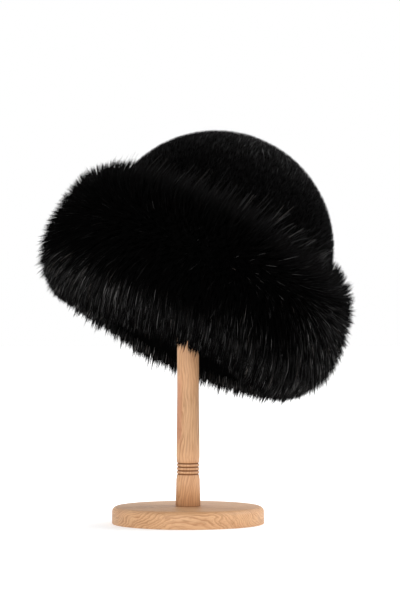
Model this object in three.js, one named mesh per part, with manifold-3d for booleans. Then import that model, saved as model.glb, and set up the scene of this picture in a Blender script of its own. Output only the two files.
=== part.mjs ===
// A faux fur hat on a turned wooden stand.
// Millimetres, +Z up. The origin is on the surface that the base stands on, under the post's axis.
// The hat faces -Y, and leans to +X and back to +Y on the ball that the post carries.
import * as THREE from "three";
import { mergeVertices } from "three/addons/utils/BufferGeometryUtils.js";
import Module from "manifold-3d";

// Driving sizes of the hat
const HEAD_GIRTH = 590;
const CLOTH = 2.5;
const CROWN_PILE = 11;
const DOME_CENTRE = 72; // above the brim's lower edge
const SEAM_HEIGHT = 64; // where the crown is sewn to the brim
const BRIM_MOUTH = 219; // inner diameter at the brim's lower edge
// How much higher the brim's fur stands at the front, and the cosines of the headings off the front
// where that begins and where it is whole
const FRONT_LIFT = { height: 22, none: 0.62, full: 0.9 };

// How the hat sits on its stand
const LEAN_RIGHT = THREE.MathUtils.degToRad(25);
const LEAN_BACK = THREE.MathUtils.degToRad(6.5);
const DOME_PLACE = new THREE.Vector3(25.8, 0, 253);

// Driving sizes of the stand
const BASE = { diameter: 140, thickness: 16, edgeRound: 5 };
const BALL_DIAMETER = 60;
const GROOVES = { count: 4, lowest: 29.2, pitch: 3.3, width: 1.3, depth: 1.1 }; // above the foot

// Clearances
const GAP = 0.3; // between pieces that touch
const SEAT_GAP = 0.7; // between the round ball and the round crown, whose facets use up some of it

// How finely round pieces are faceted
const ROUND_SIDES = 40;
const POST_SIDES = 24;
const DOME_STEPS = 10;
const EDGE_STEPS = 4;

const domeRadius = HEAD_GIRTH / (2 * Math.PI);
const clothRadius = domeRadius + CLOTH;
const pileRadius = clothRadius + CROWN_PILE;
const ballRadius = BALL_DIAMETER / 2;

// The brim's fur, a row for each ring of locks from the crown's side down to the hem. Radius and
// height of the fur's body there and of the locks' tips, and how much of the front lift they take.
const FUR_ROWS = [
  { bodyR: 116, bodyZ: 88, tipR: 117, tipZ: 104, lift: 1.0 },
  { bodyR: 125, bodyZ: 82, tipR: 133, tipZ: 95, lift: 0.9 },
  { bodyR: 131, bodyZ: 67, tipR: 142, tipZ: 76, lift: 0.5 },
  { bodyR: 134, bodyZ: 48, tipR: 146, tipZ: 53, lift: 0.15 },
  { bodyR: 135, bodyZ: 28, tipR: 148, tipZ: 28, lift: 0 },
  { bodyR: 133, bodyZ: 9, tipR: 146, tipZ: 4, lift: 0 },
  { bodyR: 127, bodyZ: -6, tipR: 137, tipZ: -17, lift: 0 },
  { bodyR: 117, bodyZ: -15, tipR: 120, tipZ: -31, lift: 0 },
];
const LOCK = { perRow: 32, sides: 4, width: 25, thickness: 14, sink: 6 };
const HEM = { overEdge: 3, depth: 12 }; // how the fur wraps the brim's lower edge

// The crown's pile lies in shallow pointed strips that lap upwards and end short of the top
const PILE_STRIPS = { count: 6, depth: 1.8, lap: 0.2, highest: THREE.MathUtils.degToRad(66) };

// The turned post, a row for each section with its height above the foot
const POST_SECTIONS = [
  { height: 0, diameter: 22.8 },
  { height: 24, diameter: 21.8 },
  { height: 27, diameter: 20.9 },
  { height: 43, diameter: 20.9 },
  { height: 45, diameter: 21.4 },
  { height: 70, diameter: 20.5 },
  { height: 102, diameter: 19.4 },
  { height: 145, diameter: 20.0 },
];

const wasm = await Module();
wasm.setup();

const CLOTH_BLACK = { color: 0x0b0b0c, roughness: 0.85, metalness: 0 };
const FUR_BLACK = { color: 0x070708, roughness: 0.5, metalness: 0 };
const OAK = { color: 0xcda57f, roughness: 0.6, metalness: 0 };

function pieceOf(name, geometry, finish) {
  const piece = new THREE.Mesh(geometry, new THREE.MeshStandardMaterial(finish));
  piece.name = name;
  return piece;
}

// Turns a profile of (radius, height) points about +Z.
function turned(profile, sides = ROUND_SIDES) {
  return new THREE.LatheGeometry(profile, sides).rotateX(Math.PI / 2);
}

// A profile point on a ball about a centre on the axis, at an angle above the horizon.
function ballPoint(radius, centreHeight, angle) {
  const across = angle === Math.PI / 2 ? 0 : radius * Math.cos(angle);
  return new THREE.Vector2(across, centreHeight + radius * Math.sin(angle));
}

// The profile points from a given height on such a ball up to its top.
function arcToTop(radius, centreHeight, fromHeight) {
  const fromAngle = Math.asin((fromHeight - centreHeight) / radius);
  const points = [];
  for (let i = 0; i <= DOME_STEPS; i++) {
    const angle = THREE.MathUtils.lerp(fromAngle, Math.PI / 2, i / DOME_STEPS);
    points.push(ballPoint(radius, centreHeight, angle));
  }
  return points;
}

function solidOf(geometry) {
  const bare = geometry.clone();
  bare.deleteAttribute("normal");
  bare.deleteAttribute("uv");
  const merged = mergeVertices(bare, 1e-4);
  const mesh = new wasm.Mesh({
    numProp: 3,
    vertProperties: merged.attributes.position.array,
    triVerts: new Uint32Array(merged.index.array),
  });
  return new wasm.Manifold(mesh);
}

function geometryOf(solid) {
  const mesh = solid.getMesh();
  const geometry = new THREE.BufferGeometry();
  geometry.setAttribute("position", new THREE.BufferAttribute(mesh.vertProperties, 3));
  geometry.setIndex(new THREE.BufferAttribute(mesh.triVerts, 1));
  return geometry;
}

// The crown: the dome of backing cloth that sits on the head.
function makeCrown() {
  const foot = SEAM_HEIGHT + GAP / 2;
  const inside = arcToTop(domeRadius, DOME_CENTRE, foot).reverse();
  const outside = arcToTop(clothRadius, DOME_CENTRE, foot);
  return turned([...inside, ...outside]);
}

// The crown's short pile: a skin on the dome, with every other side of each strip's tips pulled in.
function makeCrownFur() {
  const { count, depth, lap, highest } = PILE_STRIPS;
  const foot = SEAM_HEIGHT + 2 * GAP;
  const lowest = Math.asin((foot - DOME_CENTRE) / pileRadius);
  const profile = arcToTop(clothRadius + GAP, DOME_CENTRE, foot).reverse();
  profile.push(ballPoint(pileRadius - depth, DOME_CENTRE, lowest));
  const tips = new Set();
  for (let strip = 0; strip < count; strip++) {
    const tipAngle = THREE.MathUtils.lerp(lowest, highest, (strip + 1) / count);
    const creaseAngle = THREE.MathUtils.lerp(lowest, highest, (strip + 1 - lap) / count);
    tips.add(profile.length);
    profile.push(ballPoint(pileRadius, DOME_CENTRE, tipAngle));
    profile.push(ballPoint(pileRadius - depth, DOME_CENTRE, creaseAngle));
  }
  const topAngle = (highest + Math.PI / 2) / 2;
  profile.push(ballPoint(pileRadius - depth / 2, DOME_CENTRE, topAngle));
  profile.push(ballPoint(pileRadius, DOME_CENTRE, Math.PI / 2));
  const geometry = turned(profile);
  const place = geometry.attributes.position;
  const centre = new THREE.Vector3(0, 0, DOME_CENTRE);
  const point = new THREE.Vector3();
  for (let i = 0; i < place.count; i++) {
    const side = Math.floor(i / profile.length);
    if (!tips.has(i % profile.length) || side % 2 === 0) continue;
    point.fromBufferAttribute(place, i).sub(centre).setLength(pileRadius - depth / 2).add(centre);
    place.setXYZ(i, point.x, point.y, point.z);
  }
  return geometry;
}

const brimTop = SEAM_HEIGHT - GAP / 2;
const seamRadius = Math.sqrt(domeRadius ** 2 - (SEAM_HEIGHT - DOME_CENTRE) ** 2);
const mouthRadius = BRIM_MOUTH / 2;

// The brim: a ring of backing cloth that flares from the seam to the mouth.
function makeBrim() {
  return turned([
    new THREE.Vector2(seamRadius, brimTop),
    new THREE.Vector2(mouthRadius, 0),
    new THREE.Vector2(mouthRadius + CLOTH, 0),
    new THREE.Vector2(seamRadius + CLOTH, brimTop),
    new THREE.Vector2(seamRadius, brimTop),
  ]);
}

// How much of the front lift a heading takes: all of it at the front, none at the sides and back.
function frontShare(heading) {
  return THREE.MathUtils.smoothstep(-Math.sin(heading), FRONT_LIFT.none, FRONT_LIFT.full);
}

// The fur's body: it lies on the brim, wraps its lower edge and stands up against the crown's pile.
function makeFurBody() {
  const onBrimTop = seamRadius + CLOTH + 2 * GAP;
  const onBrimFoot = mouthRadius + CLOTH + 2 * GAP;
  const onPile = pileRadius + 2 * GAP;
  const inside = mouthRadius - HEM.overEdge;
  const top = FUR_ROWS[0];
  const corners = [
    { r: onPile, z: top.bodyZ, lift: top.lift },
    { r: onPile, z: brimTop - GAP, lift: 0 },
    { r: onBrimTop, z: brimTop - GAP, lift: 0 },
    { r: onBrimFoot, z: -GAP, lift: 0 },
    { r: inside, z: -GAP, lift: 0 },
    { r: inside, z: -HEM.depth, lift: 0 },
  ];
  for (const row of FUR_ROWS.toReversed()) {
    corners.push({ r: row.bodyR, z: row.bodyZ, lift: row.lift });
  }
  corners.push(corners[0]);
  const geometry = turned(corners.map(({ r, z }) => new THREE.Vector2(r, z)));
  const place = geometry.attributes.position;
  for (let i = 0; i < place.count; i++) {
    const heading = Math.atan2(place.getY(i), place.getX(i));
    const { lift } = corners[i % corners.length];
    place.setZ(i, place.getZ(i) + FRONT_LIFT.height * lift * frontShare(heading));
  }
  return geometry;
}

// One lock: a flattened spike that stands from inside the fur's body to its tip.
function makeLock(row, heading) {
  const raised = FRONT_LIFT.height * row.lift * frontShare(heading);
  const surface = new THREE.Vector2(row.bodyR, row.bodyZ + raised);
  const tip = new THREE.Vector2(row.tipR, row.tipZ + raised);
  const along = tip.clone().sub(surface).normalize();
  const root = surface.clone().addScaledVector(along, -LOCK.sink);
  const length = tip.distanceTo(root);
  const slant = Math.atan2(along.y, along.x);
  return new THREE.ConeGeometry(0.5, length, LOCK.sides, 1)
    .scale(LOCK.thickness, 1, LOCK.width)
    .translate(0, length / 2, 0)
    .rotateX(Math.PI / 2)
    .rotateY(Math.PI / 2 - slant)
    .translate(root.x, 0, root.y)
    .rotateZ(heading);
}

// The brim's deep fur: rows of locks fused to the fur's body, each row set half a lock round.
function makeBrimFur() {
  let fur = solidOf(makeFurBody());
  FUR_ROWS.forEach((row, rowIndex) => {
    for (let i = 0; i < LOCK.perRow; i++) {
      const heading = ((i + (rowIndex % 2) / 2) / LOCK.perRow) * 2 * Math.PI;
      fur = fur.add(solidOf(makeLock(row, heading)));
    }
  });
  return geometryOf(fur);
}

// The hat, built upright about +Z with its brim's edge at 0, then leaned about its dome's centre.
function makeHat() {
  const hat = new THREE.Group();
  hat.add(pieceOf("crown", makeCrown(), CLOTH_BLACK));
  hat.add(pieceOf("crown_fur", makeCrownFur(), FUR_BLACK));
  hat.add(pieceOf("brim", makeBrim(), CLOTH_BLACK));
  hat.add(pieceOf("brim_fur", makeBrimFur(), FUR_BLACK));
  for (const piece of hat.children) piece.position.z = -DOME_CENTRE;
  hat.rotation.set(-LEAN_BACK, LEAN_RIGHT, 0);
  hat.position.copy(DOME_PLACE);
  return hat;
}

// The ball's centre is on the post's axis, as high as the crown's inside lets it touch.
const ballReach = domeRadius - ballRadius - SEAT_GAP;
const ballHeight =
  DOME_PLACE.z + Math.sqrt(ballReach ** 2 - DOME_PLACE.x ** 2 - DOME_PLACE.y ** 2);
const postTopRadius = POST_SECTIONS.at(-1).diameter / 2;
const ballFoot = ballHeight - Math.sqrt(ballRadius ** 2 - postTopRadius ** 2);

// The base: a plain disc with its upper edge rounded over.
function makeBase() {
  const { diameter, thickness, edgeRound } = BASE;
  const rim = diameter / 2 - edgeRound;
  const shoulder = thickness - edgeRound;
  const edge = [];
  for (let i = 0; i <= EDGE_STEPS; i++) {
    const angle = (i / EDGE_STEPS) * (Math.PI / 2);
    const out = rim + edgeRound * Math.cos(angle);
    const up = shoulder + edgeRound * Math.sin(angle);
    edge.push(new THREE.Vector2(out, up));
  }
  const under = [new THREE.Vector2(0, 0), new THREE.Vector2(diameter / 2, 0)];
  return turned([...under, ...edge, new THREE.Vector2(0, thickness)]);
}

// The post's radius at a height above its foot, between the sections of its table.
function postRadius(height) {
  const next = POST_SECTIONS.findIndex((section) => section.height > height);
  const below = POST_SECTIONS[next - 1];
  const above = POST_SECTIONS[next];
  const share = (height - below.height) / (above.height - below.height);
  return THREE.MathUtils.lerp(below.diameter, above.diameter, share) / 2;
}

// The post: turned from its table of sections, with a vee groove cut at each step of the pitch.
function makePost() {
  const foot = BASE.thickness + GAP;
  const bends = POST_SECTIONS.map(({ height, diameter }) => new THREE.Vector2(diameter / 2, height));
  for (let i = 0; i < GROOVES.count; i++) {
    const middle = GROOVES.lowest + i * GROOVES.pitch;
    const radius = postRadius(middle);
    bends.push(new THREE.Vector2(radius, middle - GROOVES.width / 2));
    bends.push(new THREE.Vector2(radius - GROOVES.depth, middle));
    bends.push(new THREE.Vector2(radius, middle + GROOVES.width / 2));
  }
  bends.sort((a, b) => a.y - b.y);
  const length = ballFoot - GAP - foot;
  const end = [new THREE.Vector2(postTopRadius, length), new THREE.Vector2(0, length)];
  const profile = [new THREE.Vector2(0, 0), ...bends, ...end];
  return turned(profile, POST_SIDES).translate(0, 0, foot);
}

// The ball: cut flat underneath, where the post's top meets it.
function makeBall() {
  const round = arcToTop(ballRadius, ballHeight, ballFoot);
  return turned([new THREE.Vector2(0, ballFoot), ...round], POST_SIDES);
}

function makeStand() {
  const stand = new THREE.Group();
  stand.add(pieceOf("stand_base", makeBase(), OAK));
  stand.add(pieceOf("stand_post", makePost(), OAK));
  stand.add(pieceOf("stand_ball", makeBall(), OAK));
  return stand;
}

const part = new THREE.Group();
part.add(makeStand(), makeHat());

export default part;
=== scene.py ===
import math

import bmesh
import bpy
import numpy as np
from mathutils import Matrix, Vector
from mathutils.kdtree import KDTree


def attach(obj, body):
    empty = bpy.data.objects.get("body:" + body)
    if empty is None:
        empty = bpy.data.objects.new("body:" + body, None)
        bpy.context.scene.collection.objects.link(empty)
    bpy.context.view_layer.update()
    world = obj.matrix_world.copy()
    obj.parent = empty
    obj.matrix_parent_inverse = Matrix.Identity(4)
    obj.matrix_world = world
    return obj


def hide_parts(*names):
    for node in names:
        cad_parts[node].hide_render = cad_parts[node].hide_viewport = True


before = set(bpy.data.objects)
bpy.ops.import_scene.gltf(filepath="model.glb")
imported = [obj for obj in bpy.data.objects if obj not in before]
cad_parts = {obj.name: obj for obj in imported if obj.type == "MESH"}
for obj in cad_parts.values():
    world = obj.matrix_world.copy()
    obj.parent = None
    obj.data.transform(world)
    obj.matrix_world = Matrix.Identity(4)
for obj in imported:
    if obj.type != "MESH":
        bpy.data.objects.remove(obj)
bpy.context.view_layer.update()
scene = bpy.context.scene
print("frame loaded:", sorted(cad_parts))

# Metres throughout, in the part's own frame: +Z up, the hat's front faces -Y.

# How the hat leans on its stand, about the middle of its dome
hatLean = {
    "domeCentre": 0.072,  # above the brim's lower edge
    "domePlace": (0.0258, 0.0, 0.253),
    "right": math.radians(25),
    "back": math.radians(6.5),
}

hatPlace = (
    Matrix.Translation(hatLean["domePlace"])
    @ Matrix.Rotation(-hatLean["back"], 4, "X")
    @ Matrix.Rotation(hatLean["right"], 4, "Y")
    @ Matrix.Translation((0, 0, -hatLean["domeCentre"]))
)

# Camera, stage and light

photoView = {
    "place": (0.011, -2.4, 0.2055),  # level with the picture's middle
    "widthOfPicture": 0.368,  # metres across the 400 pixels, at the post
    "pixels": (400, 600),
    "sensor": 36.0,
}


def makeCamera():
    view = photoView
    camera = bpy.data.objects.new("camera", bpy.data.cameras.new("camera"))
    scene.collection.objects.link(camera)
    camera.location = view["place"]
    camera.rotation_euler = (math.pi / 2, 0, 0)
    tall = view["widthOfPicture"] * view["pixels"][1] / view["pixels"][0]
    camera.data.sensor_width = view["sensor"]
    camera.data.lens = view["sensor"] * -view["place"][1] / tall
    camera.data.clip_end = 50
    scene.camera = camera


studio = {
    "floorRadius": 9.0,
    "paper": (0.80, 0.80, 0.80),
    "paperGlow": 0.30,  # keeps the paper white right to its edge
    "skyStrength": 1.0,
    "lamps": {
        # name: place, size, watts
        "rightSide": ((1.7, 0.3, 1.2), 1.0, 24),
        "topBack": ((0.3, 1.1, 2.0), 1.2, 26),
        "lowFront": ((-0.3, -1.5, 0.06), 1.0, 15),
    },
    "aim": (0.0, 0.0, 0.2),
}


def plainMaterial(name, colour, roughness):
    material = bpy.data.materials.new(name)
    material.use_nodes = True
    shader = material.node_tree.nodes["Principled BSDF"]
    shader.inputs["Base Color"].default_value = (*colour, 1)
    shader.inputs["Roughness"].default_value = roughness
    return material


def meshOf(bm, name):
    mesh = bpy.data.meshes.new(name)
    bm.to_mesh(mesh)
    bm.free()
    return mesh


def makeStage():
    bm = bmesh.new()
    bmesh.ops.create_circle(bm, cap_ends=True, segments=96, radius=studio["floorRadius"])
    floor = bpy.data.objects.new("paperFloor", meshOf(bm, "paperFloor"))
    paper = plainMaterial("stagePaper", studio["paper"], 0.9)
    shader = paper.node_tree.nodes["Principled BSDF"]
    shader.inputs["Emission Color"].default_value = (1, 1, 1, 1)
    shader.inputs["Emission Strength"].default_value = studio["paperGlow"]
    floor.data.materials.append(paper)
    scene.collection.objects.link(floor)


def makeLights():
    world = bpy.data.worlds.new("studioSky")
    world.use_nodes = True
    sky = world.node_tree.nodes["Background"]
    sky.inputs["Color"].default_value = (1, 1, 1, 1)
    sky.inputs["Strength"].default_value = studio["skyStrength"]
    scene.world = world
    for name, (place, size, watts) in studio["lamps"].items():
        lamp = bpy.data.lights.new(name, "AREA")
        lamp.size = size
        lamp.energy = watts
        holder = bpy.data.objects.new(name, lamp)
        holder.location = place
        toAim = Vector(studio["aim"]) - Vector(place)
        holder.rotation_euler = toAim.to_track_quat("-Z", "Y").to_euler()
        scene.collection.objects.link(holder)
    scene.view_settings.view_transform = "Standard"
    scene.view_settings.look = "None"


makeCamera()
makeStage()
makeLights()
print("camera, paper and lamps ready")

# Shader helpers


def feed(tree, socket, value):
    # from another node's output, or a plain number or colour
    if isinstance(value, bpy.types.NodeSocket):
        tree.links.new(value, socket)
    elif socket.type == "RGBA":
        socket.default_value = (*value, 1)
    else:
        socket.default_value = value


def addNode(tree, kind, **values):
    # values: the node's own settings first, then what its sockets are fed
    node = tree.nodes.new(kind)
    for key, value in values.items():
        if key in node.inputs:
            feed(tree, node.inputs[key], value)
        else:
            setattr(node, key, value)
    return node


def mathOf(tree, operation, *values):
    node = addNode(tree, "ShaderNodeMath", operation=operation)
    for socket, value in zip(node.inputs, values):
        feed(tree, socket, value)
    return node.outputs["Value"]


def shareOf(tree, value, low, high):
    # 0 on the low side, 1 on the high side
    fed = {"Value": value, "From Min": low, "From Max": high}
    node = addNode(tree, "ShaderNodeMapRange", interpolation_type="SMOOTHSTEP", **fed)
    return node.outputs["Result"]


def mixOf(tree, factor, first, second):
    node = addNode(tree, "ShaderNodeMix", data_type="RGBA", Factor=factor, A=first, B=second)
    return node.outputs["Result"]


def rampOf(tree, factor, stops):
    node = addNode(tree, "ShaderNodeValToRGB", Fac=factor)
    ramp = node.color_ramp
    while len(ramp.elements) < len(stops):
        ramp.elements.new(0.5)
    for element, (at, colour) in zip(ramp.elements, stops):
        element.position = at
        element.color = (*colour, 1)
    return node.outputs["Color"]


def noiseOf(tree, place, scale, detail):
    mapped = addNode(tree, "ShaderNodeMapping", Vector=place, Scale=scale).outputs["Vector"]
    return addNode(tree, "ShaderNodeTexNoise", Vector=mapped, Detail=detail, Scale=1.0).outputs["Fac"]


def axesOf(tree, vector):
    return addNode(tree, "ShaderNodeSeparateXYZ", Vector=vector).outputs


def bumpOf(tree, height, strength, distance, inward=False):
    fed = {"Strength": strength, "Distance": distance, "Height": height}
    return addNode(tree, "ShaderNodeBump", invert=inward, **fed).outputs["Normal"]


def newMaterial(name, roughness, specular):
    material = plainMaterial(name, (0.5, 0.5, 0.5), roughness)
    shader = material.node_tree.nodes["Principled BSDF"]
    shader.inputs["Specular IOR Level"].default_value = specular
    return material, material.node_tree, shader.inputs


def newGroup(name, inputs, outputs):
    group = bpy.data.node_groups.new(name, "ShaderNodeTree")
    for way, sockets in (("INPUT", inputs), ("OUTPUT", outputs)):
        for socketName, kind in sockets.items():
            group.interface.new_socket(socketName, in_out=way, socket_type=f"NodeSocket{kind}")
    given = addNode(group, "NodeGroupInput").outputs
    out = addNode(group, "NodeGroupOutput").inputs
    return group, given, out


def placeGroup(tree, group, **values):
    return addNode(tree, "ShaderNodeGroup", node_tree=group, **values).outputs


# Fur: each strand's own map holds its shade across and its length upwards

# paintedSheen: a painted sheen laid on the black hair as paler colour; warmPaintedSheen: the same
# painted sheen, warmer, for a few strands
furFinish = {
    "under": {
        "root": (0.0006, 0.0006, 0.0006),
        "paintedSheen": (0.0016, 0.0015, 0.0015),
        "warmPaintedSheen": (0.0020, 0.0014, 0.0012),
        "roughness": 0.6,
        "specular": 0.01,
    },
    "guard": {
        "root": (0.0008, 0.0008, 0.0008),
        "paintedSheen": (0.490, 0.475, 0.471),
        "warmPaintedSheen": (0.480, 0.405, 0.358),
        "roughness": 0.38,
        "specular": 0.05,
    },
    "pile": {
        "root": (0.0003, 0.0003, 0.0003),
        "paintedSheen": (0.029, 0.028, 0.028),
        "warmPaintedSheen": (0.027, 0.0255, 0.024),
        "roughness": 0.5,
        "specular": 0.012,
    },
    "pileGleam": {
        "root": (0.0004, 0.0004, 0.0004),
        "paintedSheen": (0.170, 0.167, 0.167),
        "warmPaintedSheen": (0.164, 0.152, 0.145),
        "roughness": 0.45,
        "specular": 0.02,
    },
}

# where the painted glint sits along each strand
furAlong = {
    "spread": 0.25,  # how much higher or lower the gleam sits from strand to strand
    "stops": [(0.2, 0.0), (0.45, 0.5), (0.7, 1.0), (1.0, 0.8)],
    "rustFrom": 0.75,
    "rootRoughness": 0.2,
    # large enough to scatter strands of nearly the same shade
    "gleamTurns": 37.0,
    "rustTurns": 61.0,
}


def makeFurTone():
    tints = dict.fromkeys(("root", "paintedSheen", "warmPaintedSheen"), "Color")
    group, given, out = newGroup(
        "furTone",
        {"strandMap": "Vector", **tints, "roughness": "Float"},
        {"colour": "Color", "roughness": "Float"},
    )
    strand = axesOf(group, given["strandMap"])

    def perStrand(turns):
        # a number between 0 and 1 that differs from strand to strand
        return mathOf(group, "FRACT", mathOf(group, "MULTIPLY", strand["X"], turns))

    # painted glint: dark at the root, with the glint higher or lower on each strand
    scatter = perStrand(furAlong["gleamTurns"])
    along = mathOf(group, "MULTIPLY_ADD", scatter, furAlong["spread"], strand["Y"])
    rising = rampOf(group, along, [(at, (value,) * 3) for at, value in furAlong["stops"]])
    lightness = mathOf(group, "MULTIPLY", rising, strand["X"])
    rusty = shareOf(group, perStrand(furAlong["rustTurns"]), furAlong["rustFrom"], 1.0)
    # the painted sheen, warmer on a few strands
    lit = mixOf(group, rusty, given["paintedSheen"], given["warmPaintedSheen"])
    feed(group, out["colour"], mixOf(group, lightness, given["root"], lit))
    falling = mathOf(group, "SUBTRACT", 1.0, rising)
    dull = mathOf(group, "MULTIPLY", falling, furAlong["rootRoughness"])
    feed(group, out["roughness"], mathOf(group, "ADD", dull, given["roughness"]))
    return group


def furMaterial(name, finish):
    material, tree, shader = newMaterial(name, finish["roughness"], finish["specular"])
    strandMap = addNode(tree, "ShaderNodeUVMap", uv_map="OFBake")
    given = {key: finish[key] for key in ("root", "paintedSheen", "warmPaintedSheen", "roughness")}
    tone = placeGroup(tree, furTone, strandMap=strandMap.outputs["UV"], **given)
    feed(tree, shader["Base Color"], tone["colour"])
    feed(tree, shader["Roughness"], tone["roughness"])
    return material


# The wool under the strands
wool = {
    "roughness": 0.9,
    "specular": 0.02,
    "fluff": (900, 900, 900),
    "detail": 4.0,
    "tones": [(0.3, (0.0004, 0.0004, 0.0004)), (0.75, (0.0016, 0.0015, 0.0015))],
    "bump": (0.6, 0.0008),  # strength, depth
}


def underfurMaterial():
    material, tree, shader = newMaterial("underfur", wool["roughness"], wool["specular"])
    place = addNode(tree, "ShaderNodeTexCoord").outputs["Object"]
    fluff = noiseOf(tree, place, wool["fluff"], wool["detail"])
    feed(tree, shader["Base Color"], rampOf(tree, fluff, wool["tones"]))
    feed(tree, shader["Normal"], bumpOf(tree, fluff, *wool["bump"]))
    return material


# Backing cloth: a fine knit in rows round the hat, on the piece's own map

knit = {
    "roughness": 0.85,
    "specular": 0.25,
    "sheen": 0.15,
    "wales": 420,  # once round the hat
    "courses": 620,  # in mapHeight
    "mapHeight": 0.6,
    "tones": [(0.2, (0.003, 0.0028, 0.003)), (0.9, (0.012, 0.011, 0.0115))],
    "bump": (0.5, 0.0006),
}


def backingMaterial():
    material, tree, shader = newMaterial("backingCloth", knit["roughness"], knit["specular"])
    shader["Sheen Weight"].default_value = knit["sheen"]
    spot = axesOf(tree, addNode(tree, "ShaderNodeUVMap", uv_map="cloth").outputs["UV"])

    def waves(along, count):
        return mathOf(tree, "SINE", mathOf(tree, "MULTIPLY", along, count * 2 * math.pi))

    across = waves(spot["X"], knit["wales"])
    upward = waves(spot["Y"], knit["courses"])
    loops = mathOf(tree, "MULTIPLY_ADD", mathOf(tree, "MULTIPLY", across, upward), 0.5, 0.5)
    feed(tree, shader["Base Color"], rampOf(tree, loops, knit["tones"]))
    feed(tree, shader["Normal"], bumpOf(tree, loops, *knit["bump"]))
    return material


# Oak: growth rings about a pith beside the piece, fine pores along them and a rosy streak

oak = {
    "pale": (0.582, 0.341, 0.179),
    "tan": (0.518, 0.288, 0.143),
    "ring": (0.365, 0.177, 0.077),
    "rosy": (0.47, 0.205, 0.112),
    "pore": (0.30, 0.145, 0.062),
    # painted shade: the darker colour in the post's grooves
    "groove": (0.150, 0.052, 0.015),
    # painted light: the paler wood laid on the post's foot and on its top under the hat
    "paintedLightWood": (0.95, 0.51, 0.28),
    "ringStep": 0.0021,
    "ringTones": [(0.0, "pale"), (0.45, "tan"), (0.78, "ring"), (0.92, "tan"), (1.0, "pale")],
    # how far the rings stray from true circles, with the scale and detail of it
    "stray": [(0.0130, (48, 48, 17), 1.0), (0.0045, (140, 140, 55), 2.0)],
    # edge: where a pattern begins and where it is full, share: how much of it the wood takes
    "patterns": {
        "soft": {"scale": (90, 90, 9), "detail": 1.0, "edge": (0.3, 0.7), "share": 0.5},
        "rosy": {"scale": (40, 40, 3), "detail": 1.0, "edge": (0.55, 0.8), "share": 0.4},
        "flecks": {"scale": (760, 110, 34), "detail": 2.0, "edge": (0.50, 0.70), "share": 0.48},
        "pores": {"scale": (1300, 1300, 60), "detail": 2.0, "edge": (0.54, 0.72), "share": 0.5},
    },
    "streak": {"side": (-0.0035, -0.0085), "low": (0.062, 0.085), "high": (0.145, 0.125), "share": 0.85},
    # painted light on the post's ends, where the base and the hat shade it
    "paintedLightEnds": {"low": (0.080, 0.055), "high": (0.108, 0.138), "share": 0.19},
    "roughness": {"smooth": 0.5, "pores": 0.18, "groove": 0.35},  # the last two are added to it
    "specular": 0.35,
    "bump": (0.3, 0.0002),
    # where each piece's pith lies, and how many degrees its grain is turned
    "pieces": {
        "oakPost": {"pith": (0.027, 0.020, 0), "turn": (2.5, -2.5, 0)},
        "oakBall": {"pith": (0.020, 0.015, 0), "turn": (4, 0, 0)},
        "oakBase": {"pith": (-0.045, 0.004, 0), "turn": (0, 86, 8)},
    },
}


def makeOakGrain():
    group, given, out = newGroup(
        "oakGrain",
        {"place": "Vector", "streak": "Float", "paintedLightShare": "Float", "groove": "Float"},
        {"colour": "Color", "roughness": "Float", "pores": "Float"},
    )
    place = given["place"]
    flat = addNode(group, "ShaderNodeVectorMath", operation="MULTIPLY")
    feed(group, flat.inputs[0], place)
    flat.inputs[1].default_value = (1, 1, 0)
    fromPith = addNode(group, "ShaderNodeVectorMath", operation="LENGTH")
    feed(group, fromPith.inputs[0], flat.outputs["Vector"])
    strayed = fromPith.outputs["Value"]
    for reach, scale, detail in oak["stray"]:
        strayed = mathOf(group, "MULTIPLY_ADD", noiseOf(group, place, scale, detail), reach, strayed)
    share = mathOf(group, "FRACT", mathOf(group, "DIVIDE", strayed, oak["ringStep"]))
    rings = rampOf(group, share, [(at, oak[tone]) for at, tone in oak["ringTones"]])

    def patternOf(name, where):
        pattern = oak["patterns"][name]
        noise = noiseOf(group, where, pattern["scale"], pattern["detail"])
        return shareOf(group, noise, *pattern["edge"])

    def partOf(name, pattern):
        return mathOf(group, "MULTIPLY", pattern, oak["patterns"][name]["share"])

    wood = mixOf(group, partOf("soft", patternOf("soft", place)), rings, oak["pale"])
    rosiness = partOf("rosy", patternOf("rosy", place))
    wood = mixOf(group, mathOf(group, "MAXIMUM", rosiness, given["streak"]), wood, oak["rosy"])
    # short dark flecks that keep to the rings
    spot = axesOf(group, place)
    beside = addNode(group, "ShaderNodeCombineXYZ", X=strayed, Y=spot["X"], Z=spot["Z"])
    flecks = patternOf("flecks", beside.outputs["Vector"])
    wood = mixOf(group, partOf("flecks", flecks), wood, oak["pore"])
    pores = patternOf("pores", place)
    wood = mixOf(group, partOf("pores", pores), wood, oak["pore"])
    # painted light on the post's ends
    wood = mixOf(group, given["paintedLightShare"], wood, oak["paintedLightWood"])
    # painted shade in the grooves
    feed(group, out["colour"], mixOf(group, given["groove"], wood, oak["groove"]))
    rough = oak["roughness"]
    worn = mathOf(group, "MULTIPLY_ADD", pores, rough["pores"], rough["smooth"])
    worn = mathOf(group, "MULTIPLY_ADD", given["groove"], rough["groove"], worn)
    feed(group, out["roughness"], worn)
    feed(group, out["pores"], pores)
    return group


def streakMask(tree, place):
    # a band of redder wood low on the post's left
    streak = oak["streak"]
    spot = axesOf(tree, place)
    mask = streak["share"]
    for axis, edge in (("X", "side"), ("Z", "low"), ("Z", "high")):
        mask = mathOf(tree, "MULTIPLY", mask, shareOf(tree, spot[axis], *streak[edge]))
    return mask


def paintedLightMask(tree, place):
    # painted light: the post is a little paler at its foot and under the hat, against the shade that the
    # base and the hat cast there
    ends = oak["paintedLightEnds"]
    height = axesOf(tree, place)["Z"]
    low = shareOf(tree, height, *ends["low"])
    high = shareOf(tree, height, *ends["high"])
    return mathOf(tree, "MULTIPLY", mathOf(tree, "MAXIMUM", low, high), ends["share"])


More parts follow.
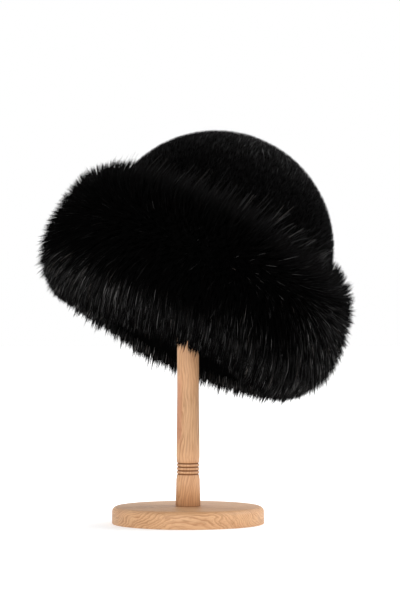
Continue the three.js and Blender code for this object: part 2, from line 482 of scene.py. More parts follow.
def oakMaterial(name, turnedPost=False):
    material, tree, shader = newMaterial(name, oak["roughness"]["smooth"], oak["specular"])
    place = addNode(tree, "ShaderNodeTexCoord").outputs["Object"]
    cut = oak["pieces"][name]
    grainTurn = tuple(math.radians(angle) for angle in cut["turn"])
    cutWay = {"Location": cut["pith"], "Rotation": grainTurn}
    turned = addNode(tree, "ShaderNodeMapping", Vector=place, **cutWay)
    grain = placeGroup(tree, oakGrain, place=turned.outputs["Vector"])
    if turnedPost:
        masks = grain["colour"].node.inputs
        depth = addNode(tree, "ShaderNodeAttribute", attribute_name="groove")
        feed(tree, masks["groove"], depth.outputs["Fac"])
        feed(tree, masks["streak"], streakMask(tree, place))
        feed(tree, masks["paintedLightShare"], paintedLightMask(tree, place))
    feed(tree, shader["Base Color"], grain["colour"])
    feed(tree, shader["Roughness"], grain["roughness"])
    feed(tree, shader["Normal"], bumpOf(tree, grain["pores"], *oak["bump"], inward=True))
    return material


furTone = makeFurTone()
oakGrain = makeOakGrain()
furMaterials = {name: furMaterial(f"{name}Fur", finish) for name, finish in furFinish.items()}
underfur = underfurMaterial()
backingCloth = backingMaterial()
oakPost = oakMaterial("oakPost", turnedPost=True)
oakBall = oakMaterial("oakBall")
oakBase = oakMaterial("oakBase")
print("materials ready")

# Mesh helpers


def placePiece(name, mesh, material, replaced):
    mesh.materials.append(material)
    mesh.shade_smooth()
    piece = bpy.data.objects.new(name, mesh)
    scene.collection.objects.link(piece)
    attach(piece, "root")
    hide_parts(replaced)


def placeOnHat(name, bm, material, replaced):
    bm.transform(hatPlace)
    placePiece(name, meshOf(bm, name), material, replaced)


def spun(profile, steps, closed=False):
    # profile: (radius, height) pairs, turned once round +Z
    bm = bmesh.new()
    verts = [bm.verts.new((radius, 0, height)) for radius, height in profile]
    pairs = list(zip(verts, verts[1:]))
    if closed:
        pairs.append((verts[-1], verts[0]))
    edges = [bm.edges.new(pair) for pair in pairs]
    turn = {"cent": (0, 0, 0), "axis": (0, 0, 1), "angle": 2 * math.pi}
    bmesh.ops.spin(bm, geom=verts + edges, steps=steps, use_merge=True, **turn)
    bmesh.ops.remove_doubles(bm, verts=bm.verts, dist=1e-6)
    bmesh.ops.recalc_face_normals(bm, faces=bm.faces)
    return bm


def arc(radius, centreHeight, fromAngle, toAngle, steps):
    angles = [fromAngle + (toAngle - fromAngle) * i / steps for i in range(steps + 1)]
    points = [(radius * math.cos(a), centreHeight + radius * math.sin(a)) for a in angles]
    return [(0.0 if abs(r) < 1e-9 else r, h) for r, h in points]


def smoothCurve(points, perSpan):
    # a rounded line through a few (radius, height) points
    spots = np.array([points[0], *points, points[-1]])
    line = []
    for p, q, r, s in zip(spots, spots[1:], spots[2:], spots[3:]):
        for i in range(perSpan):
            t = i / perSpan
            square = (2 * p - 5 * q + 4 * r - s) * t**2
            cube = (3 * q - p - 3 * r + s) * t**3
            line.append(tuple(0.5 * (2 * q + (r - p) * t + square + cube)))
    line.append(points[-1])
    return line


def clothMap(bm):
    # across: the heading round the hat, up: the height, both as shares
    layer = bm.loops.layers.uv.new("cloth")
    for face in bm.faces:
        middle = face.calc_center_median()
        heading = math.atan2(middle.y, middle.x)
        for loop in face.loops:
            spot = loop.vert.co
            turn = math.atan2(spot.y, spot.x) - heading
            turn -= 2 * math.pi * round(turn / (2 * math.pi))
            loop[layer].uv = ((heading + turn) / (2 * math.pi), spot.z / knit["mapHeight"])


# The hat's cloth

headSize = {
    "girth": 0.59,
    "cloth": 0.0025,
    "pile": 0.011,
    "seam": 0.064,  # its height above the brim's lower edge
    "mouth": 0.1095,
    "arcSteps": 24,
    "around": 96,
}
domeRadius = headSize["girth"] / (2 * math.pi)
clothRadius = domeRadius + headSize["cloth"]
pileRadius = clothRadius + headSize["pile"]
domeCentre = hatLean["domeCentre"]
seamDrop = headSize["seam"] - domeCentre
seamRadius = math.sqrt(domeRadius**2 - seamDrop**2)


def domeShell(outer, inner, drop, steps):
    # a hollow dome that ends at a height of drop from its centre
    outside = arc(outer, domeCentre, math.pi / 2, math.asin(drop / outer), steps)
    inside = arc(inner, domeCentre, math.asin(drop / inner), math.pi / 2, steps)
    return spun(outside + inside, headSize["around"])


def makeCrownBacking():
    bm = domeShell(clothRadius, domeRadius, seamDrop, headSize["arcSteps"])
    clothMap(bm)
    placeOnHat("crownBacking", bm, backingCloth, "crown")


hem = {"roll": 0.0022, "seamRoll": 0.0016, "seamGap": 0.0004, "perSpan": 4}


def makeBrimBacking():
    # a flared ring with a rolled seam at the top and a rolled hem at the mouth
    top = headSize["seam"] - hem["seamGap"]
    mouth = headSize["mouth"]
    cloth = headSize["cloth"]
    halfway = 0.5 * (seamRadius + mouth)
    inside = [
        (seamRadius, top),
        (seamRadius - hem["seamRoll"] * 0.7, top - 0.0012),
        (seamRadius - hem["seamRoll"], top - 0.003),
        (seamRadius + 0.0004, top - 0.006),
        (halfway + 0.001, 0.5 * top),
        (mouth - 0.0008, 0.008),
        (mouth - hem["roll"], 0.004),
        (mouth - hem["roll"] * 0.6, 0.001),
        (mouth + 0.0006, 0.0),
    ]
    outside = [
        (mouth + cloth, 0.0006),
        (halfway + cloth, 0.5 * top),
        (seamRadius + cloth, top),
    ]
    bm = spun(smoothCurve(inside, hem["perSpan"]) + outside, headSize["around"], closed=True)
    clothMap(bm)
    placeOnHat("brimBacking", bm, backingCloth, "brim")


makeCrownBacking()
makeBrimBacking()
print("cloth made")

# Fur strands: closed three-sided spikes on curved spines, joined into one mesh

strandForm = {
    "taper": 0.4,  # the share of its width that a strand loses on the way to its tip
    "mapMargin": 0.01,
    "mapWidth": 0.001,  # half the width of a strand's own strip on the map
}


def strandMesh(name, roots, bends, tips, starts, widths, shades, rings, rng):
    # starts: the share of each spine that is left out, where wool hides it
    # rings: how far along the rest each ring of three points sits, before the tip
    count = len(roots)
    segments = len(rings)
    sides = 3
    spots = between(starts[:, None], 1, np.array([*rings, 1.0]))
    s = spots[:, :, None]
    roots, bends, tips = roots[:, None], bends[:, None], tips[:, None]
    spine = (1 - s) ** 2 * roots + 2 * s * (1 - s) * bends + s**2 * tips
    heads = (1 - s) * (bends - roots) + s * (tips - bends)
    heads /= np.linalg.norm(heads, axis=2, keepdims=True)
    anyway = rng.normal(size=(count, 1, 3))
    across = np.cross(heads, np.broadcast_to(anyway, heads.shape))
    across /= np.linalg.norm(across, axis=2, keepdims=True)
    upward = np.cross(heads, across)
    taper = 1 - strandForm["taper"] * np.array(rings) ** 2
    radius = (0.5 * widths[:, None] * taper)[:, :, None, None]
    turns = 2 * np.pi * np.arange(sides)[:, None] / sides
    ring = spine[:, :-1, None] + radius * np.cos(turns) * across[:, :-1, None]
    ring += radius * np.sin(turns) * upward[:, :-1, None]
    perStrand = segments * sides + 1
    places = np.concatenate([ring.reshape(count, -1, 3), spine[:, -1:]], axis=1)

    faces = [(2, 1, 0)]
    for step in range(segments - 1):
        for side in range(sides):
            p = step * sides + side
            q = step * sides + (side + 1) % sides
            faces += [(p, q, q + sides), (p, q + sides, p + sides)]
    last = (segments - 1) * sides
    faces += [(last + side, last + (side + 1) % sides, perStrand - 1) for side in range(sides)]
    corners = (np.array(faces) + perStrand * np.arange(count)[:, None, None]).reshape(-1)

    # the strand's own map: its shade across, its length upwards
    upStrand = np.append(np.repeat(spots[:, :-1], sides, axis=1), spots[:, -1:], axis=1)
    strip = strandForm["mapWidth"]
    acrossStrand = np.append(np.tile(np.linspace(-strip, strip, sides), segments), 0.0)
    margin = strandForm["mapMargin"]
    u = margin + (1 - 2 * margin) * shades[:, None] + acrossStrand
    v = margin + (1 - 2 * margin) * upStrand
    strandMap = np.stack([np.clip(u, strip, 1 - strip), v], axis=2).reshape(-1, 2)[corners]

    mesh = bpy.data.meshes.new(name)
    mesh.vertices.add(count * perStrand)
    mesh.vertices.foreach_set("co", places.reshape(-1).astype(np.float32))
    mesh.loops.add(len(corners))
    mesh.loops.foreach_set("vertex_index", corners.astype(np.int32))
    mesh.polygons.add(len(corners) // 3)
    mesh.polygons.foreach_set("loop_start", np.arange(0, len(corners), 3, dtype=np.int32))
    mesh.update(calc_edges=True)
    layer = mesh.uv_layers.new(name="OFBake")
    layer.uv.foreach_set("vector", strandMap.reshape(-1).astype(np.float32))
    return mesh


def intoFrame(points):
    turn = np.array(hatPlace.to_3x3())
    return points @ turn.T + np.array(hatPlace.translation)


def aroundHat(radius, heading, height):
    return np.stack([radius * np.cos(heading), radius * np.sin(heading), height], axis=-1)


def hairPieces(layer, hairs, values, replaced, rng):
    # split by heading into pieces of a handy size, from millimetres about the hat
    count = values["pieces"]
    rings = values["rings"]
    sector = ((hairs["heading"] / (2 * math.pi) % 1) * count).astype(int)
    for number in range(count):
        mine = sector == number
        name = f"{layer}.{number + 1}"
        spine = [intoFrame(0.001 * hairs[key][mine]) for key in ("root", "bend", "tip")]
        widths = 0.001 * hairs["width"][mine]
        mesh = strandMesh(name, *spine, hairs["start"][mine], widths, hairs["shade"][mine], rings, rng)
        placePiece(name, mesh, furMaterials[values["finish"]], replaced)
        print(name, len(mesh.polygons), "triangles")


def between(first, second, share):
    return first + (second - first) * share


def rareShades(shade, count, rng):
    # most of them near the least, a few far brighter
    return shade["least"] + shade["more"] * rng.random(count) ** shade["rarity"]


# The brim's deep fur: rows from the crown's side over the middle to the hem and under it.
# Radius and height of root and tip in millimetres, and each row's share of the lift below.
brimFur = {
    "rows": [
        # rootR, rootZ, tipR, tipZ, lift
        (110.5, 72, 107.5, 104, 1.00),
        (112.5, 70, 118.0, 102, 1.00),
        (115.0, 66, 131.0, 92, 0.85),
        (117.0, 62, 138.5, 79.5, 0.55),
        (119.0, 57, 143.0, 64.5, 0.25),
        (120.0, 51, 145.7, 48, 0.10),
        (120.5, 44, 147.2, 29, 0.0),
        (120.5, 37, 146.8, 12, 0.0),
        (120.0, 30, 143.8, -1, 0.0),
        (119.0, 23, 138.2, -11, 0.0),
        (117.5, 16, 130.2, -21.5, 0.0),
        (115.0, 9, 120.5, -30.5, 0.0),
        (112.0, 3, 111.5, -34.5, 0.0),
        (109.0, -3, 105.5, -28, 0.0),
    ],
    # how much lower the hem hangs, by degrees round the hat from its right side
    "hem": [
        (0, -5.0), (45, 2.0), (75, 8.0), (90, 10.0), (110, 10.0), (122, 5.5), (140, 2.0),
        (165, -3.0), (180, -2.0), (205, 5.0), (228, 9.5), (250, 7.0), (265, 4.5), (277, 3.5),
        (287, -1.0), (295, 2.0), (310, 8.0), (322, 10.0), (340, 3.0), (360, -5.0),
    ],
    # and how much further out the hair reaches
    "reachOut": [
        (0, 1.5), (40, 0.0), (90, 0.0), (150, 2.0), (180, 6.0),
        (210, 2.0), (270, 0.0), (320, 0.0), (360, 1.5),
    ],
    # and how much higher the top hair stands
    "lift": [
        (0, 2.0), (25, 0.0), (150, 0.0), (170, 1.5), (185, 4.0), (205, 5.0), (216, 6.5),
        (227, 9.0), (278, 9.0), (285, 8.1), (295, 3.6), (304, 0.0), (335, 0.0), (360, 2.0),
    ],
    "rootLift": 0.6,  # the roots' share of it
    "liftLean": 0.3,  # and how far it draws the tips in
    "rightTurn": 0.7,  # rows by which the right side's tips lie lower than their roots
    "leastSpan": 3.0,  # added from row to row, so that close rows get hair too
    "hemFrom": 10,  # the row from which the hair is denser
    "hemDensity": 2.7,
    "rowPitch": 9.0,
    "meanRadius": 130.0,
    "jitter": 0.006,  # radians
    "seed": 11,
}

# The comb, in millimetres at the tips
brimComb = {"hang": 13.0, "lean": 5.0, "sweep": 12.0, "sweepDrop": 7.0, "sway": (1.2, 0.8)}

# The woolly body that the strands come out of
brimBody = {
    # row, share of the hair's length that is solid wool
    "solid": [(0, 0.05), (1, 0.20), (3, 0.40), (8, 0.45), (10, 0.60), (12, 0.72), (13, 0.66)],
    "backHem": 0.06,  # more of it at the back's hem
    "rooted": 0.15,  # share of a hair that is sunk in the wool
    # its inner side, in metres
    "clear": 0.0008,
    "innerEdge": 0.1075,
    "offPile": 0.0005,
    "underSeam": 0.002,
    "topEdge": 0.074,
    "perRow": 3,
    "lumps": 0.5,
    "ragged": 2.4,
    "around": 240,
}

# Locks that the hair falls into, by how far its tips are drawn to the nearest lock's
brimLocks = {
    "count": 1500,
    "underPull": (0.16, 0.40),  # at the top and at the hem
    "guardPull": 0.12,
    "uneven": 0.035,
    "jitter": 0.02,
    "seed": 47,
}

# Dense black hair, drawn together at its tips
brimUnder = {
    "clumps": 10500,
    "perClump": 8,
    "spread": 2.4,
    "pull": 0.91,
    "width": 0.85,
    "rings": (0.0,),
    "bow": 2.8,
    "stray": (0.9, 1.4),  # at the top and at the hem
    # a clump's longest reach, how much shorter it may be, and how rare the long ones are
    "atTop": {"longest": 1.04, "uneven": 0.06, "rarity": 2.0},
    "atHem": {"longest": 1.09, "uneven": 0.165, "rarity": 5.0},
    "fray": 0.10,  # how much shorter a hair may be than its clump
    "finish": "under",
    "pieces": 4,
}

# Finer hair over it, with the painted sheen
brimGuard = {
    "tries": 40000,
    "fewest": 0.05,  # share of the tries kept where the fur takes no light
    "width": 0.30,
    "rings": (0.0, 0.55),
    "bow": 5.5,
    "hemBow": 4.5,  # more of it at the hem
    "proud": 2.0,  # how far its tips stand off the black hair
    "insideRows": (11.4, 12.4),  # from here it bends and stands off inwards
    "insideBow": 1.6,
    "insideReach": 0.06,
    "insideStart": 0.76,  # only its ends show there
    "reach": (0.79, 0.95),
    "stray": 0.9,
    "shade": {"least": 0.02, "more": 0.98, "rarity": 19.0},
    "finish": "guard",
    "pieces": 4,
}

# Tufts of longer hair that stand over the crown's edge
brimTufts = {
    "count": 260,
    "hairs": 2,
    "rows": (0.0, 1.0),
    "width": 0.20,
    "rings": (0.0, 0.5, 0.85),
    "stray": 4.2,
    "start": 0.5,  # the brim's other hair hides their lower halves
    "reach": (0.8, 1.0),
    "stretch": (1.02, 1.20),  # at the left front and at the right front
    "lean": (2.5, 20.0),  # at the left front and at the right
    "arch": 9.0,  # how far the right's hair goes up before it turns over
    "rightEnd": 0.45,  # and how much shorter it is at the far right
    "bow": 3.0,
    "jitter": 0.010,
    "leftBright": 0.25,
    "shade": {"least": 0.01, "more": 0.30, "rarity": 4.5},
    "finish": "guard",
    "pieces": 1,
    "seed": 23,
}

# Single bright hairs out of line with the rest
brimStrays = {
    "count": 150,
    "gathered": {"share": 0.3, "heading": -1.2, "spread": 0.13},  # right of the front
    "rows": (3.0, 9.5),
    "across": 6.0,
    "upwards": 0.7,  # as a share of across
    "width": 0.25,
    "rings": (0.0, 0.5, 0.85),
    "reach": (0.9, 0.96),
    "bow": 5.0,
    "stray": 2.0,
    "leftBright": 0.2,
    "shade": {"least": 0.04, "more": 0.24, "rarity": 2.4},
    "finish": "guard",
    "pieces": 1,
    "seed": 31,
}


def smoothStep(low, high, values):
    share = np.clip((values - low) / (high - low), 0, 1)
    return share * share * (3 - 2 * share)


def roundHat(heading, table):
    # a value from a list of (degrees, value)
    return np.interp(np.degrees(heading) % 360, *np.array(table).T)


def rowBand(t, rising, falling):
    # 1 between two rows, less towards both ends
    return smoothStep(*rising, t) * (1 - smoothStep(*falling, t))


def rightSide(heading):
    return smoothStep(0.4, 0.9, np.cos(heading))


def brimRow(t, heading):
    fur = brimFur
    table = np.array(fur["rows"])
    rows = np.arange(len(table))
    rootR, rootZ, tipR, tipZ, lift = (np.interp(t, rows, column) for column in table.T)
    raised = lift * roundHat(heading, fur["lift"])
    dropped = smoothStep(8, 11.5, t) * roundHat(heading, fur["hem"])
    wider = rowBand(t, (1, 3), (9, 12)) * roundHat(heading, fur["reachOut"])
    root = aroundHat(rootR, heading, rootZ + fur["rootLift"] * raised)
    tip = aroundHat(tipR - fur["liftLean"] * raised + wider, heading, tipZ + raised - dropped)
    return root, tip


def evenSpread(count):
    # two columns of shares that fill the square evenly
    steps = np.arange(count)[:, None] * np.array([0.7548776662, 0.5698402910])
    return ((0.5 + steps) % 1).T


def rowsByLength(shares):
    # more strands where the fur's outside is longer from row to row
    table = np.array(brimFur["rows"])
    spans = np.hypot(*np.diff(table[:, 2:4], axis=0).T) + brimFur["leastSpan"]
    spans[brimFur["hemFrom"] :] *= brimFur["hemDensity"]
    ends = np.append(0, np.cumsum(spans)) / spans.sum()
    return np.interp(shares, ends, np.arange(len(table)))


def spreadRoots(count, jitter, rng):
    headingShare, rowShare = evenSpread(count)
    heading = 2 * math.pi * headingShare + rng.normal(0, jitter, count)
    return rowsByLength(rowShare), heading


def woolShare(t, heading):
    # how much of the hair's length the woolly body takes up
    solid = np.interp(t, *np.array(brimBody["solid"]).T)
    atBack = smoothStep(-0.2, 0.5, np.sin(heading))
    return solid + brimBody["backHem"] * smoothStep(9, 11, t) * atBack


def alongHat(heading):
    return np.stack([-np.sin(heading), np.cos(heading), 0 * heading], axis=1)


def combed(t, heading, tip):
    # the hem's hair hangs, the front's top hair leans to the right and lies down there
    comb = brimComb
    offLeft = smoothStep(-0.85, -0.45, np.cos(heading))
    hanging = smoothStep(7, 10, t) * np.sin(heading) ** 2 * offLeft
    leaning = (1 - smoothStep(1.5, 3.5, t)) * smoothStep(-0.3, 0.5, -np.sin(heading + 0.5))
    rightFront = smoothStep(0.70, 0.95, np.cos(heading + 0.75))
    swept = rightFront * rowBand(t, (0.6, 1.6), (3.5, 5.5))
    sway = comb["sway"][0] * np.sin(5 * heading + 0.5 * t)
    sway += comb["sway"][1] * np.sin(13 * heading - 0.9 * t + 1.0)
    shift = alongHat(heading) * (sway + comb["lean"] * leaning + comb["sweep"] * swept)[:, None]
    shift[:, 0] += comb["hang"] * hanging
    shift[:, 2] -= comb["sweepDrop"] * swept
    return tip + shift


def tipOf(t, heading):
    # the right side's hair turns down on its way out
    lower = t + brimFur["rightTurn"] * rightSide(heading) * rowBand(t, (1, 3), (8, 11))
    return combed(lower, heading, brimRow(lower, heading)[1])


def lockTips():
    locks = brimLocks
    rng = np.random.default_rng(locks["seed"])
    t, heading = spreadRoots(locks["count"], locks["jitter"], rng)
    root = brimRow(t, heading)[0]
    reach = 1 + rng.normal(0, locks["uneven"], locks["count"])
    return between(root, tipOf(t, heading), reach[:, None])


def intoLocks(tips, pull):
    locks = lockTips()
    tree = KDTree(len(locks))
    for number, spot in enumerate(locks):
        tree.insert(spot, number)
    tree.balance()
    nearest = [tree.find(spot)[1] for spot in tips]
    return between(tips, locks[nearest], pull)


def paintedSheenShare(t, heading):
    # painted sheen: the hair is paler at the hem and the sides, and hardly at all where it points
    # straight out
    toRight = np.cos(heading)
    rightFront = smoothStep(0.75, 0.95, np.cos(heading + 0.45))
    shares = [
        (0.5 + np.where(toRight > 0, 0.3, -0.5) * toRight) * smoothStep(8.4, 10.4, t),
        0.45 * smoothStep(7.0, 9.2, t) * smoothStep(0.0, 0.35, toRight),
        0.72 * smoothStep(7.6, 9.8, t) * smoothStep(0.2, 0.7, -toRight),
        0.85 * smoothStep(0.55, 0.92, toRight) * smoothStep(2.5, 4.5, t),
        0.10 * rightFront * rowBand(t, (1, 2), (4, 6)),
        0.06 * smoothStep(0.80, 0.98, -toRight),
        0.01 + 0 * t,
    ]
    return np.maximum.reduce(shares)


def loneHairs(t, heading, values, rng):
    # single hairs that end near the fur's outside
    count = len(t)
    root = brimRow(t, heading)[0]
    tip = tipOf(t, heading) + rng.normal(0, values["stray"], (count, 3))
    shares = between(*values["reach"], rng.random(count))
    return {
        "root": root,
        "tip": between(root, tip, shares[:, None]),
        "heading": heading,
        "start": np.maximum(woolShare(t, heading) - brimBody["rooted"], 0),
        "width": values["width"] * (0.7 + 0.6 * rng.random(count)),
        "bow": values["bow"] + rng.normal(0, 1.0, count),
        "arch": np.zeros(count),
    }


def guardHairs(rng):
    guard = brimGuard
    t, heading = spreadRoots(guard["tries"], brimFur["jitter"], rng)
    kept = rng.random(len(t)) < between(guard["fewest"], 1, paintedSheenShare(t, heading))
    t, heading = t[kept], heading[kept]
    hairs = loneHairs(t, heading, guard, rng)
    hairs["tip"] = intoLocks(hairs["tip"], brimLocks["guardPull"])
    inside = smoothStep(*guard["insideRows"], t)
    hairs["tip"] += (hairs["tip"] - hairs["root"]) * guard["insideReach"] * inside[:, None]
    hairs["tip"] += aroundHat(guard["proud"] * (1 - 2 * inside), heading, 0 * heading)
    hairs["bow"] += guard["hemBow"] * smoothStep(8.5, 10, t)
    hairs["bow"] *= 1 - guard["insideBow"] * inside
    hairs["start"] = np.maximum(hairs["start"], guard["insideStart"] * inside)
    # the painted sheen, strong on a few hairs only
    hairs["shade"] = paintedSheenShare(t, heading) * rareShades(guard["shade"], len(t), rng)
    return hairs


def clumpedHairs(rng):
    under = brimUnder
    t, heading = spreadRoots(under["clumps"], brimFur["jitter"], rng)
    # the right side is as uneven as the hem
    towardsHem = np.maximum(smoothStep(6, 9, t), rightSide(heading) * smoothStep(1, 3, t))
    stray = between(*under["stray"], towardsHem)
    clumpTip = tipOf(t, heading) + stray[:, None] * rng.normal(0, 1, (under["clumps"], 3))
    pull = between(*brimLocks["underPull"], towardsHem)
    clumpTip = intoLocks(clumpTip, pull[:, None])
    which = np.repeat(np.arange(under["clumps"]), under["perClump"])
    count = len(which)
    hairT = t[which] + rng.normal(0, under["spread"] / brimFur["rowPitch"], count)
    hairT = np.clip(hairT, 0, len(brimFur["rows"]) - 1)
    hairHeading = heading[which] + rng.normal(0, under["spread"] / brimFur["meanRadius"], count)
    hairs = loneHairs(hairT, hairHeading, {**under, "stray": 0.0, "reach": (1.0, 1.0)}, rng)
    tip = between(hairs["tip"], clumpTip[which], under["pull"])
    longest, uneven, rarity = (
        between(under["atTop"][key], under["atHem"][key], towardsHem)
        for key in ("longest", "uneven", "rarity")
    )
    clumpReach = longest - uneven * (1 - rng.random(under["clumps"]) ** rarity)
    reach = clumpReach[which] * (1 - under["fray"] * rng.random(count) ** 1.5)
    hairs["tip"] = between(hairs["root"], tip, reach[:, None])
    hairs["shade"] = rng.random(count)
    return hairs


def tuftHairs(rng):
    tufts = brimTufts
    count = tufts["count"]
    which = np.repeat(np.arange(count), tufts["hairs"])
    heading = (2 * math.pi * (np.arange(count) + 0.7 * rng.random(count)) / count)[which]
    t = between(*tufts["rows"], rng.random(count))[which]
    heading += rng.normal(0, tufts["jitter"], len(which))
    rightFront = smoothStep(-0.2, 0.6, np.cos(heading + 0.9))
    hairs = loneHairs(t, heading, tufts, rng)
    farRight = smoothStep(0.65, 0.90, np.cos(heading))
    stretch = between(*tufts["stretch"], rightFront) - tufts["rightEnd"] * farRight
    hairs["tip"] = between(hairs["root"], hairs["tip"], stretch[:, None])
    turned = smoothStep(0.45, 0.95, np.cos(heading + 0.5)) * (1 - farRight)
    hairs["arch"] = tufts["arch"] * turned
    hairs["start"] = np.maximum(hairs["start"], tufts["start"])
    lean = between(*tufts["lean"], turned)
    hairs["tip"] += lean[:, None] * alongHat(heading)
    # painted sheen: the tufts at the right front are paler than the rest
    bright = between(tufts["leftBright"], 1, rightFront)
    hairs["shade"] = bright * rareShades(tufts["shade"], len(which), rng)
    return hairs


def strayHairs(rng):
    strays = brimStrays
    count = strays["count"]
    heading = 2 * math.pi * rng.random(count)
    gathered = strays["gathered"]
    beside = rng.normal(gathered["heading"], gathered["spread"], count)
    heading = np.where(rng.random(count) < gathered["share"], beside, heading)
    low, high = strays["rows"]
    t = between(high, low, rng.random(count) ** 1.5)
    hairs = loneHairs(t, heading, strays, rng)
    sideways, upwards = rng.normal(0, strays["across"], (2, count))
    hairs["tip"] += alongHat(heading) * sideways[:, None]
    hairs["tip"][:, 2] += strays["upwards"] * upwards
    # painted sheen: the strays on the far left are dimmer
    bright = between(strays["leftBright"], 1, smoothStep(-0.65, -0.1, np.cos(heading)))
    hairs["shade"] = bright * rareShades(strays["shade"], count, rng)
    return hairs


def makeBrimFur():
    rng = np.random.default_rng(brimFur["seed"])
    tuftRng = np.random.default_rng(brimTufts["seed"])
    strayRng = np.random.default_rng(brimStrays["seed"])
    layers = {
        "brimUnderHair": (brimUnder, clumpedHairs(rng)),
        "brimGuardHair": (brimGuard, guardHairs(rng)),
        "brimTuft": (brimTufts, tuftHairs(tuftRng)),
        "brimStray": (brimStrays, strayHairs(strayRng)),
    }
    for name, (values, hairs) in layers.items():
        bent = aroundHat(hairs["bow"], hairs["heading"], hairs["arch"])
        hairs["bend"] = 0.5 * (hairs["root"] + hairs["tip"]) + bent
        hairPieces(name, hairs, values, "brim_fur", rng)


def makeBrimUnderfur():
    body = brimBody
    lastRow = len(brimFur["rows"]) - 1
    rows = np.linspace(0.5, lastRow, lastRow * body["perRow"])
    overCloth = headSize["cloth"] + body["clear"]
    underSeam = headSize["seam"] - body["underSeam"]
    inside = [
        (body["innerEdge"], -body["clear"]),
        (headSize["mouth"] + overCloth, -body["clear"]),
        (seamRadius + overCloth, underSeam),
        (pileRadius + body["offPile"], underSeam),
        (pileRadius + body["offPile"], body["topEdge"]),
    ]
    # a plain ring whose heights count its rows, then each row goes to its place
    plainRing = [(1.0, float(i)) for i in range(len(rows) + len(inside))]
    bm = spun(plainRing, body["around"], closed=True)
    spots = np.array([vert.co for vert in bm.verts])
    number = np.rint(spots[:, 2]).astype(int)
    heading = np.arctan2(spots[:, 1], spots[:, 0])
    t = rows[np.minimum(number, len(rows) - 1)]
    root, tip = brimRow(t, heading)
    solid = woolShare(t, heading)
    lumps = body["lumps"] * np.sin(23 * heading + 2.1 * t) * np.sin(9 * heading - 1.7 * t)
    ragged = np.sin(61 * heading + 1.3 * t) * np.sin(37 * heading + 2.0)
    ragged += 0.6 * np.sin(97 * heading + 0.7)
    ragged *= body["ragged"] * smoothStep(10, 11.5, t)
    outer = between(root, combed(t, heading, tip), solid[:, None]) + aroundHat(lumps, heading, ragged)
    innerR, innerZ = 1000 * np.array(inside)[np.maximum(number - len(rows), 0)].T
    # its upper part rises with the roots
    share = np.clip((innerZ - 45) / 30, 0, 1)
    raised = brimFur["rootLift"] * roundHat(heading, brimFur["lift"]) * share
    inner = aroundHat(innerR, heading, innerZ + raised)
    placed = 0.001 * np.where((number < len(rows))[:, None], outer, inner)
    for vert, spot in zip(bm.verts, placed):
        vert.co = spot
    bmesh.ops.recalc_face_normals(bm, faces=bm.faces)
    placeOnHat("brimUnderfur", bm, underfur, "brim_fur")


makeBrimUnderfur()
makeBrimFur()

# The crown's short pile, combed up towards the top

crownFur = {
    "skinDepth": 3.0,  # millimetres of pile above the woolly skin
    "uneven": 0.4,
    "lowest": math.radians(-4),
    # painted top light: the pile is paler on the top than on the sides
    "paintedTopLight": (math.radians(35), math.radians(65)),  # the top takes more light than the sides
    "leastBright": 0.12,
    "swing": (0.2, 0.12),
    "scatter": 0.5,
    "wool": {"offCloth": 0.0004, "offSeam": 0.0006, "arcSteps": 28},
    "seed": 5,
    # overTop: how far the longest tips pass the pile's mean height
    # rise: how far a strand runs up the dome
    "layers": {
        "crownPile": {
            "strands": 44000, "overTop": 2.0, "rise": 5.5, "width": 0.60,
            "rings": (0.0,), "sparkle": 11.0, "finish": "pile", "pieces": 2,
        },
        # sparse pale strands that paint the pile's sheen
        "crownGleam": {
            "strands": 6000, "overTop": 2.2, "rise": 6.5, "width": 0.40,
            "rings": (0.0, 0.6), "sparkle": 5.0, "finish": "pileGleam", "pieces": 1,
        },
    },
}


def onDome(radius, polar, heading):
    height = 1000 * domeCentre + radius * np.sin(polar)
    return aroundHat(radius * np.cos(polar), heading, height)


def crownHairs(layer, rng):
    fur = crownFur
    count = layer["strands"]
    low = math.sin(fur["lowest"])
    polar = np.arcsin(low + (1 - low) * rng.random(count))
    heading = 2 * math.pi * rng.random(count)
    outer = 1000 * pileRadius
    skin = outer - fur["skinDepth"]
    reach = 1 - fur["uneven"] * rng.random(count) ** 2
    rise = layer["rise"] / outer * reach
    # the comb swings slowly to either side over the dome
    swing = fur["swing"][0] * np.sin(3 * heading + 2.5 * polar)
    swing += fur["swing"][1] * np.sin(7 * heading - 5 * polar)
    swing += rng.normal(0, fur["scatter"], count)
    upTo = polar + rise * np.cos(swing)
    sideTurn = rise * np.sin(swing) / np.maximum(np.cos(polar), 0.18)
    bendHeight = skin + 0.75 * fur["skinDepth"] * reach
    tipHeight = skin + (fur["skinDepth"] + layer["overTop"]) * reach
    # painted top light on the pile
    bright = between(fur["leastBright"], 1, smoothStep(*fur["paintedTopLight"], polar))
    return {
        "heading": heading,
        "start": np.zeros(count),
        "root": onDome(skin - 1.0, polar, heading),
        "bend": onDome(bendHeight, polar + 0.4 * (upTo - polar), heading + 0.4 * sideTurn),
        "tip": onDome(tipHeight, upTo, heading + sideTurn),
        "width": layer["width"] * (0.75 + 0.5 * rng.random(count)),
        "shade": bright * rng.random(count) ** layer["sparkle"],
    }


def makeCrownFur():
    rng = np.random.default_rng(crownFur["seed"])
    for name, layer in crownFur["layers"].items():
        hairPieces(name, crownHairs(layer, rng), layer, "crown_fur", rng)


def makeCrownUnderfur():
    layer = crownFur["wool"]
    outer = pileRadius - 0.001 * crownFur["skinDepth"]
    inner = clothRadius + layer["offCloth"]
    bm = domeShell(outer, inner, seamDrop + layer["offSeam"], layer["arcSteps"])
    placeOnHat("crownUnderfur", bm, underfur, "crown_fur")


makeCrownUnderfur()
makeCrownFur()
print("fur made")

# The turned stand

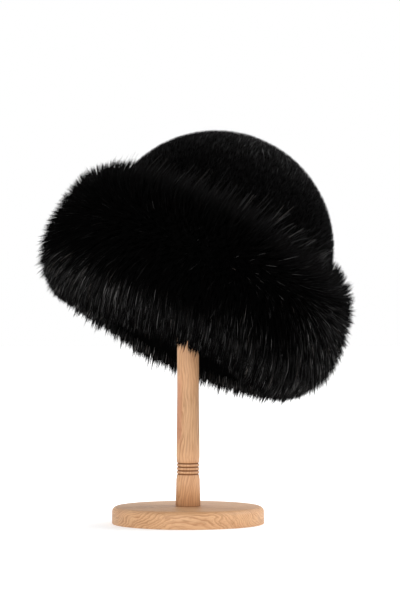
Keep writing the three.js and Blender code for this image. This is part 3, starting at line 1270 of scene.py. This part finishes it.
stand = {
    "base": {
        "radius": 0.070,
        "thickness": 0.016,
        "topEdge": {"offset": 0.005, "segments": 6},
        "footEdge": {"offset": 0.0008, "segments": 2},
    },
    "ball": {"radius": 0.030, "seatGap": 0.0007, "arcSteps": 24},
    "gap": 0.0003,
    # height above the post's foot, radius
    "post": [
        (0.000, 0.0114), (0.024, 0.0109), (0.027, 0.01045), (0.043, 0.01045),
        (0.045, 0.0107), (0.070, 0.0105), (0.102, 0.0100), (0.145, 0.0100),
    ],
    "grooves": {"count": 4, "lowest": 0.0292, "pitch": 0.0033, "half": 0.0009, "depth": 0.0009},
    "around": 96,
}
ballReach = domeRadius - stand["ball"]["radius"] - stand["ball"]["seatGap"]
ballHeight = hatLean["domePlace"][2] + math.sqrt(ballReach**2 - hatLean["domePlace"][0] ** 2)
postTop = stand["post"][-1][1]
ballFoot = ballHeight - math.sqrt(stand["ball"]["radius"] ** 2 - postTop**2)


def makeBase():
    base = stand["base"]
    bm = bmesh.new()
    bmesh.ops.create_cone(
        bm,
        cap_ends=True,
        segments=stand["around"],
        radius1=base["radius"],
        radius2=base["radius"],
        depth=base["thickness"],
    )
    bmesh.ops.translate(bm, vec=(0, 0, base["thickness"] / 2), verts=bm.verts)
    topRim = [e for e in bm.edges if all(v.co.z > 0.9 * base["thickness"] for v in e.verts)]
    footRim = [e for e in bm.edges if all(v.co.z < 0.1 * base["thickness"] for v in e.verts)]
    for rim, edge in ((topRim, base["topEdge"]), (footRim, base["footEdge"])):
        bmesh.ops.bevel(bm, geom=rim, affect="EDGES", profile=0.5, material=-1, **edge)
    bmesh.ops.recalc_face_normals(bm, faces=bm.faces)
    placePiece("standBase", meshOf(bm, "standBase"), oakBase, "stand_base")


def makePost():
    foot = stand["base"]["thickness"] + stand["gap"]
    grooves = stand["grooves"]
    heights, radii = zip(*stand["post"])
    bends = [(h, r, 0.0) for h, r in stand["post"]]
    for i in range(grooves["count"]):
        middle = grooves["lowest"] + i * grooves["pitch"]
        radius = float(np.interp(middle, heights, radii))
        for share in (-1.0, -0.55, 0.0, 0.55, 1.0):
            deep = math.cos(share * math.pi / 2)
            height = middle + share * grooves["half"]
            bends.append((height, radius - grooves["depth"] * deep, deep**0.5))
    length = ballFoot - stand["gap"] - foot
    bends += [(h, float(np.interp(h, heights, radii)), 0.0) for h in np.linspace(0.05, length, 14)]
    bends.sort()
    profile = [(0.0, 0.0), *((r, h) for h, r, deep in bends), (0.0, length)]
    bm = spun([(r, foot + h) for r, h in profile], stand["around"])
    mesh = meshOf(bm, "standPost")
    # how deep each spot lies in a groove, for the painted shade there
    depths = [deep for h, r, deep in bends]
    spotHeights = [foot + h for h, r, deep in bends]
    groove = mesh.attributes.new("groove", "FLOAT", "POINT")
    spotDepths = [float(np.interp(v.co.z, spotHeights, depths)) for v in mesh.vertices]
    groove.data.foreach_set("value", spotDepths)
    placePiece("standPost", mesh, oakPost, "stand_post")


def makeBall():
    ball = stand["ball"]
    low = math.asin((ballFoot - ballHeight) / ball["radius"])
    outline = arc(ball["radius"], ballHeight, low, math.pi / 2, ball["arcSteps"])
    bm = spun([(0.0, ballFoot), *outline], stand["around"])
    placePiece("standBall", meshOf(bm, "standBall"), oakBall, "stand_ball")


makeBase()
makePost()
makeBall()
print("stand made")
